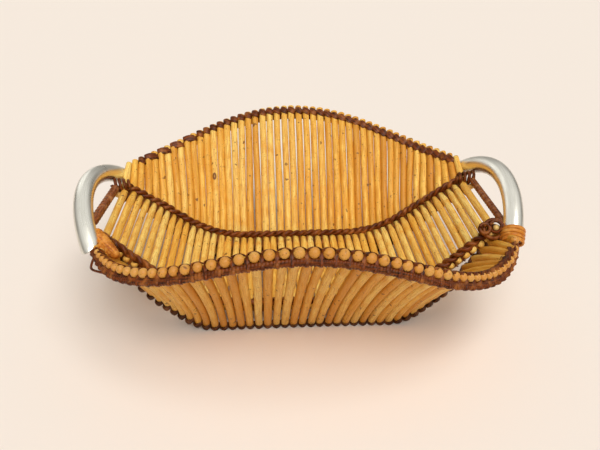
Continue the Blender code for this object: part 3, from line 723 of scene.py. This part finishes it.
def rim_winding(side, stops):
    """Strand round rod and sticks: one turn from stop to stop, crossing sticks only while inside."""
    turns = len(stops) - 1
    phase = np.linspace(0, turns, turns * 32 + 1)[:-1]
    number = np.floor(phase).astype(int)
    part = phase - number
    step = smooth(0.30, 0.70, part)
    share = (stops[number] * (1 - step) + stops[number + 1] * step) / (STICKS - 1) * 2 - 1
    line, up, out = rim_line(share, side)
    turn = part * 2 * np.pi
    inward = 0.5 - 0.5 * np.cos(turn)
    inside = smooth(0.05, 0.55, inward)
    taper = rim_taper(share, side)
    height = (TURN_HALF_HEIGHT - TURN_LOWER_INSIDE * inside) * signed_power(np.sin(turn), 0.6) * taper
    if side > 0:
        height = height + (TURN_RISE_AT_LEFT * smooth(0.1, -0.35, share) - TURN_DIP) * inside
    reach = (TURN_CENTRE_OUT + TURN_HALF_DEPTH * signed_power(np.cos(turn), 0.6)) * taper
    path = line + out * reach[:, None] + up * height[:, None]
    flat = smooth(0.50, 0.60, inward)
    outward, upward = np.cos(turn) / FACING_HALF_DEPTH, (1 - flat) * np.sin(turn) / FACING_HALF_HEIGHT
    facing = out * outward[:, None] + up * upward[:, None]
    wide = STRAND_HALF_WIDTH + STRAND_WIDER_INSIDE * smooth(0.40, 0.70, inward)
    return sweep(path[None], unit(facing)[None], wide, 10, squash=STRAND_HALF_THICKNESS / wide, power=0.6)


for side, word in WALLS:
    rod = tubes(word + "_rim_rod", rim_rod(side), brown)
    winding = tubes(word + "_rim_winding", rim_winding(side, RIM_STOPS[word]), brown)
    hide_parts(word + "_rim_lashing")
    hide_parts(word + "_rim_lashing")

# Handles
# Each handle is an aluminium tube bent to an arc, satin and a little worn, sawn off
# and left open at its ends. The left tube's front end is sawn at a slant.

ARCS = {
    -1: {"front": (-0.1340, -0.0550, 0.0682), "back": (-0.1347, 0.0680, 0.0646),
         "bulge": 0.0246, "lean": 32.4},
    1: {"front": (0.1366, -0.0550, 0.0675), "back": (0.1361, 0.0680, 0.0652),
        "bulge": 0.0239, "lean": 26.5},
}
TUBE_RADIUS = 0.0065
BORE_RADIUS = 0.0053
TUBE_EDGE = 0.0003
TUBE_RINGS = 84
TUBE_SIDES = 40
FRONT_CUT = -42.0
BACK_CUT = 40.0
LEFT_CUT_SLANT = 3.6
BEND_RADIUS_ABOUT = 0.09


def handle_place(side, angle):
    """Arc of the tube's centre line from chord, bulge and lean; its direction and its plane's normal."""
    front, back = np.array(ARCS[side]["front"]), np.array(ARCS[side]["back"])
    bulge, lean = ARCS[side]["bulge"], math.radians(ARCS[side]["lean"])
    half = np.linalg.norm(back - front) / 2
    along = (back - front) / (2 * half)
    lift = np.array([side * math.sin(lean), 0, math.cos(lean)])
    lift = unit(lift - along * (lift @ along))
    radius = (half ** 2 + bulge ** 2) / (2 * bulge)
    rise = radius * (np.cos(angle) - 1) + bulge
    point = (front + back) / 2 + rise[:, None] * lift + (radius * np.sin(angle))[:, None] * along
    ahead = np.cos(angle)[:, None] * along - np.sin(angle)[:, None] * lift
    return point, ahead, np.cross(lift, along)


def round_tube(side, angle, turn):
    """Points on the handle's arc, and the directions that stand off from it at a turn."""
    arc, ahead, flat = handle_place(side, angle)
    first = np.zeros(arc.shape) + flat
    second = np.cross(ahead, first)
    return arc, first * np.cos(turn)[:, None] + second * np.sin(turn)[:, None]


def satin_aluminium():
    """Satin aluminium with fine rubbed lines along the tube and a few dull patches."""
    made, tree, shader = principled("satin_aluminium")
    place, _ = along_cane(tree, 26.0, 30.0)
    object_place = node(tree, "ShaderNodeTexCoord").outputs["Object"]
    rub = noise(tree, place, 2.0, 4.0)
    dull = noise(tree, object_place, 60.0, 4.0)
    colour = ramp(tree, rub, (0.3, (0.70, 0.68, 0.60)), (0.7, (0.86, 0.84, 0.77)))
    tree.links.new(colour, shader.inputs["Base Color"])
    tree.links.new(greys(tree, dull, (0.35, 0.24), (0.7, 0.38)), shader.inputs["Roughness"])
    shader.inputs["Metallic"].default_value = 1.0
    bump = node(tree, "ShaderNodeBump", {"Height": rub, "Strength": 0.06, "Distance": 0.0002})
    tree.links.new(bump.outputs[0], shader.inputs["Normal"])
    return made


def bent_tube(name, side):
    """Open tube as one closed skin: out along the tube's outside and back along the bore."""
    t = np.arange(TUBE_SIDES) * 2 * np.pi / TUBE_SIDES
    start = FRONT_CUT - (LEFT_CUT_SLANT if side < 0 else 0.0) * np.sin(t)
    angle = np.radians(start + (BACK_CUT - start) * np.linspace(0, 1, TUBE_RINGS)[:, None])
    arc, around = round_tube(side, angle.ravel(), np.tile(t, TUBE_RINGS))
    arc, around = (a.reshape(TUBE_RINGS, TUBE_SIDES, 3) for a in (arc, around))
    edge = np.zeros((TUBE_RINGS, 1, 1))
    edge[[0, -1]] = TUBE_EDGE
    bore = (arc + (BORE_RADIUS + edge) * around)[::-1]
    grid = np.concatenate([arc + (TUBE_RADIUS - edge) * around, bore])
    count = 2 * TUBE_RINGS
    index = np.arange(count * TUBE_SIDES).reshape(count, TUBE_SIDES)
    following = np.roll(index, -1, 0)
    quads = np.stack([index, np.roll(index, -1, 1), np.roll(following, -1, 1), following], -1)
    mesh = bpy.data.meshes.new(name)
    mesh.from_pydata(grid.reshape(-1, 3), [], quads.reshape(-1, 4).tolist())
    k = np.arange(TUBE_SIDES) / TUBE_SIDES
    beyond = k + 1 / TUBE_SIDES
    u = np.broadcast_to(np.stack([k, beyond, beyond, k], -1), (count, TUBE_SIDES, 4))
    far = np.concatenate([angle[:, 0], angle[::-1, 0]]) * BEND_RADIUS_ABOUT
    v = np.stack([far, far, np.roll(far, -1), np.roll(far, -1)], -1)[:, None]
    v = np.broadcast_to(v, (count, TUBE_SIDES, 4))
    sheet = mesh.uv_layers.new(name="cane")
    sheet.data.foreach_set("uv", np.stack([u, v], -1).astype(np.float32).ravel())
    mark = mesh.attributes.new("tone", "FLOAT", "POINT")
    mark.data.foreach_set("value", np.full(count * TUBE_SIDES, 0.3 + 0.2 * side, np.float32))
    mesh.polygons.foreach_set("use_smooth", np.ones(len(mesh.polygons), bool))
    mesh.set_sharp_from_angle(angle=math.radians(50))
    return mesh


aluminium = satin_aluminium()
for side, word in ((-1, "left"), (1, "right")):
    mesh = bent_tube(word + "_tube", side)
    mesh.materials.append(aluminium)
    tube = bpy.data.objects.new(word + "_tube", mesh)
    bpy.context.scene.collection.objects.link(tube)
    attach(tube, "root")
    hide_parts(word + "_handle")

# End bindings
# A cross rod wrapped in cane ties the two ends of each handle together over the end
# of the floor. Turns of orange cane bind the tube's ends to the corners of the rims,
# with a knot at the right front corner and a loose end at the left.

CROSS_ROD_BACK = (0.1366, 0.0365, 0.0700)
LEFT_CROSS_ROD = {"front": (-0.1362, -0.0350, 0.0782), "radius": 0.0032, "pitch": 0.0058}
RIGHT_CROSS_ROD = {"front": (0.1358, -0.0400, 0.0722), "radius": 0.0026, "pitch": 0.0040}
RIGHT_WINDING_SPAN = (-43.5, -37.0)
RIGHT_WINDING_STRAND = 0.0014
LEFT_WINDING_START = np.array([-0.1348, -0.0405, 0.0722])
LEFT_WINDING_END = np.array([-0.1165, -0.0640, 0.0692])
LEFT_WINDING_RADIUS = 0.0052
LEFT_WINDING_PITCH = 0.0034
LOOSE_END = [(-0.1300, -0.0640, 0.0690), (-0.1318, -0.0662, 0.0655),
             (-0.1300, -0.0735, 0.0655), (-0.1212, -0.0800, 0.0665)]
LOOSE_END_RADIUS = 0.0008
KNOT_PLACE = np.array([0.1268, -0.0462, 0.0712])
KNOT_FACING = np.array([-0.30, -0.75, 0.59])
KNOT_STRAND = 0.0013
KNOT_THIN_STRAND = 0.0010
KNOT_STUBS = ([-0.0016, 0, -0.0026], [0.0016, 0, 0.0014])
KNOT_STUB_RADIUS = 0.0022
BACK_COIL_OUTSIDE = (0.1395, 0.0400, 0.0715)
BACK_COIL_INSIDE = (0.1262, 0.0405, 0.0690)
BACK_COIL_RADIUS = 0.0044
BACK_COIL_STRAND = 0.0012
orange = dark_cane("orange_cane", body=(0.72, 0.28, 0.035, 1), deep=(0.38, 0.10, 0.012, 1),
                   painted_sheen=(0.84, 0.44, 0.11, 1))
tan = dark_cane("tan_cane", body=(0.36, 0.11, 0.030, 1), deep=(0.11, 0.027, 0.006, 1),
                painted_sheen=(0.52, 0.23, 0.09, 1))


def wrapped_rod(path, radius, pitch, groove=0.24):
    """Straight rod whose radius dips in a helix between the turns of its wrapping."""
    sides = 12
    around = sweep(path[None], (np.zeros(path.shape) + [0, 0, 1.0])[None], 1.0, sides) - path[None, :, None]
    run = np.linalg.norm(path - path[0], axis=-1)
    turn = run[:, None] / pitch + np.arange(sides) / sides
    size = radius * (1 - groove + groove * np.abs(np.sin(np.pi * turn)) ** 0.6)
    return path[None, :, None] + around * size[None, ..., None]


def cross_rod(side, sizes):
    """Wrapped rod from the back end of the handle to its front end."""
    back = np.array(CROSS_ROD_BACK) * [side, 1, 1]
    path = back + (np.array(sizes["front"]) - back) * np.linspace(0, 1, 240)[:, None]
    return wrapped_rod(path, sizes["radius"], sizes["pitch"])


def tube_winding(side, start, end, turns, strand):
    """Strand wound round the handle's end: a helix on the tube's surface."""
    share = np.linspace(0, 1, turns * 28)
    angle = np.radians(start + (end - start) * share)
    arc, around = round_tube(side, angle, share * turns * 2 * np.pi)
    path = arc + around * (TUBE_RADIUS + 0.0001 + strand * 0.5)
    return sweep(path[None], around[None], strand, 8, squash=0.6)


def tapered_winding():
    """Wrapped rod that starts round and narrows with the square of its run."""
    run = np.linspace(0, 1, 160)[:, None]
    path = LEFT_WINDING_START * (1 - run) + LEFT_WINDING_END * run
    radius = LEFT_WINDING_RADIUS * (1 - 0.5 * run ** 2) * smooth(0, 0.03, run) ** 0.5
    return wrapped_rod(path, radius, LEFT_WINDING_PITCH, 0.36)


def curved(points, count, radius):
    """Strand along a smooth curve through a few places: piecewise cubics with even pace."""
    points = np.array(points, float)
    t = np.linspace(0, len(points) - 1, count)
    k = np.minimum(t.astype(int), len(points) - 2)
    u = (t - k)[:, None]
    pace = np.gradient(points, axis=0)
    a, b, c, d = points[k], points[k + 1], pace[k], pace[k + 1]
    path = (a * (1 + 2 * u) * (1 - u) ** 2 + c * u * (1 - u) ** 2
            + b * u * u * (3 - 2 * u) + d * u * u * (u - 1))
    width = np.full(count, radius)
    width[[0, 1, -2, -1]] = radius * np.array([0.3, 0.8, 0.8, 0.3])
    return sweep(path[None], (np.zeros(path.shape) + [0, -0.5, 0.86])[None], width, 8)


def coil(start, end, radius, turns, strand, skew=0.0):
    """Helix round a straight axis, its turns slanted by the skew."""
    start, end = np.array(start, float), np.array(end, float)
    ahead = unit(end - start)
    first = unit(np.cross(ahead, [0.2, 0.3, 1.0]))
    second = np.cross(ahead, first)
    share = np.linspace(0, 1, turns * 26)
    turn = share * turns * 2 * np.pi
    around = first * np.cos(turn)[:, None] + second * np.sin(turn)[:, None]
    path = start + (end - start) * share[:, None] + around * radius + ahead * (skew * np.sin(turn))[:, None]
    return sweep(path[None], around[None], strand, 8)


def knot_loops():
    """Three coils beside each other that face the same way: a wide one, a small one and a tight one."""
    centre, facing = KNOT_PLACE, KNOT_FACING
    small = centre + [0.0012, 0, 0.0018]
    tight, tight_end = centre + [-0.0056, 0.0010, -0.0004], centre + [-0.0054, 0.0010, 0]
    return [coil(centre - 0.001 * facing, centre + 0.003 * facing, 0.0062, 2, KNOT_STRAND),
            coil(small, small + 0.0035 * facing, 0.0036, 1, KNOT_THIN_STRAND),
            coil(tight, tight_end + 0.003 * facing, 0.0032, 2, KNOT_STRAND)]


def knot_stubs():
    """Two cut cane ends that look out of the knot."""
    places = [KNOT_PLACE + offset for offset in KNOT_STUBS]
    paths = [[p - 0.006 * KNOT_FACING, p - 0.002 * KNOT_FACING, p + 0.002 * KNOT_FACING] for p in places]
    return np.concatenate([curved(path, 12, KNOT_STUB_RADIUS) for path in paths])


def back_coil(side):
    """Turns of thin cane that tie the back end of the tube to the corner."""
    outside, inside = np.array(BACK_COIL_OUTSIDE) * [side, 1, 1], np.array(BACK_COIL_INSIDE) * [side, 1, 1]
    return coil(outside, inside, BACK_COIL_RADIUS, 4, BACK_COIL_STRAND, skew=0.0015)


left_pieces = [
    tubes("left_cross_rod", cross_rod(-1, LEFT_CROSS_ROD), tan),
    tubes("left_front_winding", tapered_winding(), orange),
    tubes("left_loose_end", curved(LOOSE_END, 30, LOOSE_END_RADIUS), brown),
    tubes("left_back_winding", back_coil(-1), brown),
]
grid = tube_winding(1, *RIGHT_WINDING_SPAN, 4, RIGHT_WINDING_STRAND)
stubs = knot_stubs()
right_pieces = [
    tubes("right_cross_rod", cross_rod(1, RIGHT_CROSS_ROD), tan),
    tubes("right_front_winding", grid, orange),
    *[tubes("right_knot_%d" % (k + 1), loop, brown) for k, loop in enumerate(knot_loops())],
    tubes("right_knot_stubs", stubs, pale, shade_and_end_grain=np.zeros(stubs.shape[:3])),
    tubes("right_back_winding", back_coil(1), brown),
]
for word, pieces in (("left", left_pieces), ("right", right_pieces)):
    for piece in pieces:
        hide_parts(word + "_end_binding")

# Floor, light and camera
# A plain warm backdrop, one soft lamp from above at the right and one from the front,
# a world that is dim below and brighter above, and the camera at the photograph's place.

BACKDROP_HALF = 9
PAPER_COLOUR = (0.94, 0.85, 0.765, 1)
PAPER_FAR_COLOUR = (0.945, 0.84, 0.73, 1)
LAMP_COLOUR = (1.0, 0.98, 0.95)
WINDOW_DIRECTION = (-0.45, 0.83, 0.34)
WINDOW_COLOUR = (1.30, 1.29, 1.24, 1)
CAMERA_PLACE = (-0.0212, -0.4178, 0.2747)
CAMERA_DIP = 0.486
CAMERA_TURN = -0.053
CAMERA_LENS = 39


def lamp(name, place, spread, power):
    """Broad sun shining from a place to the basket, its spread in degrees."""
    light = bpy.data.lights.new(name, "SUN")
    light.angle = math.radians(spread)
    light.energy = power
    light.color = LAMP_COLOUR
    made = bpy.data.objects.new(name, light)
    made.location = place
    x, y, z = -np.array(place)
    tilt = math.acos(-z / math.hypot(x, y, z))
    made.rotation_euler = (tilt, 0, math.atan2(y, x) - math.pi / 2)
    bpy.context.scene.collection.objects.link(made)


def studio_world():
    """World by height of view: dim for light, brighter with a window for reflections, plain to the camera."""
    world = bpy.data.worlds.new("studio")
    world.use_nodes = True
    sky = world.node_tree
    direction = node(sky, "ShaderNodeTexCoord").outputs["Generated"]
    upward = node(sky, "ShaderNodeSeparateXYZ", {0: direction}).outputs[2]
    ray = node(sky, "ShaderNodeLightPath")
    level = ramp(sky, upward, (0.0, (0.06, 0.06, 0.057)), (0.6, (0.29, 0.288, 0.285)))
    mirrored = ramp(sky, upward, (0.0, (0.12, 0.115, 0.10)), (0.25, (0.36, 0.35, 0.33)),
                    (0.6, (0.85, 0.84, 0.81)))
    window = node(sky, "ShaderNodeVectorMath", {0: direction, 1: WINDOW_DIRECTION}, operation="DOT_PRODUCT")
    window = greys(sky, window.outputs["Value"], (0.95, 0), (0.985, 1))
    mirrored = mixed(sky, window, mirrored, WINDOW_COLOUR)
    level = mixed(sky, ray.outputs["Is Glossy Ray"], level, mirrored)
    level = mixed(sky, ray.outputs["Is Camera Ray"], level, PAPER_FAR_COLOUR)
    sky.links.new(level, sky.nodes["Background"].inputs["Color"])
    return world


paper, _, paper_shader = principled("backdrop_paper")
paper_shader.inputs["Base Color"].default_value = PAPER_COLOUR
paper_shader.inputs["Roughness"].default_value = 1.0
paper_shader.inputs["Specular IOR Level"].default_value = 0.0
mesh = bpy.data.meshes.new("backdrop")
corners = [(x * BACKDROP_HALF, y * BACKDROP_HALF, 0) for x, y in ((-1, -1), (1, -1), (1, 1), (-1, 1))]
mesh.from_pydata(corners, [], [(0, 1, 2, 3)])
mesh.materials.append(paper)
backdrop = bpy.data.objects.new("backdrop", mesh)
bpy.context.scene.collection.objects.link(backdrop)

lamp("key_lamp", (0.8, -0.4, 2.4), 25, 0.62)
lamp("front_lamp", (0.2, -2.05, 2.3), 46, 2.27)
bpy.context.scene.world = studio_world()
bpy.context.scene.view_settings.view_transform = "Standard"

lens = bpy.data.cameras.new("camera")
lens.sensor_width = 36
lens.lens = CAMERA_LENS
lens.clip_start = 0.01
camera = bpy.data.objects.new("camera", lens)
camera.location = CAMERA_PLACE
camera.rotation_euler = (math.pi / 2 - CAMERA_DIP, 0, CAMERA_TURN)
bpy.context.scene.collection.objects.link(camera)
bpy.context.scene.camera = camera
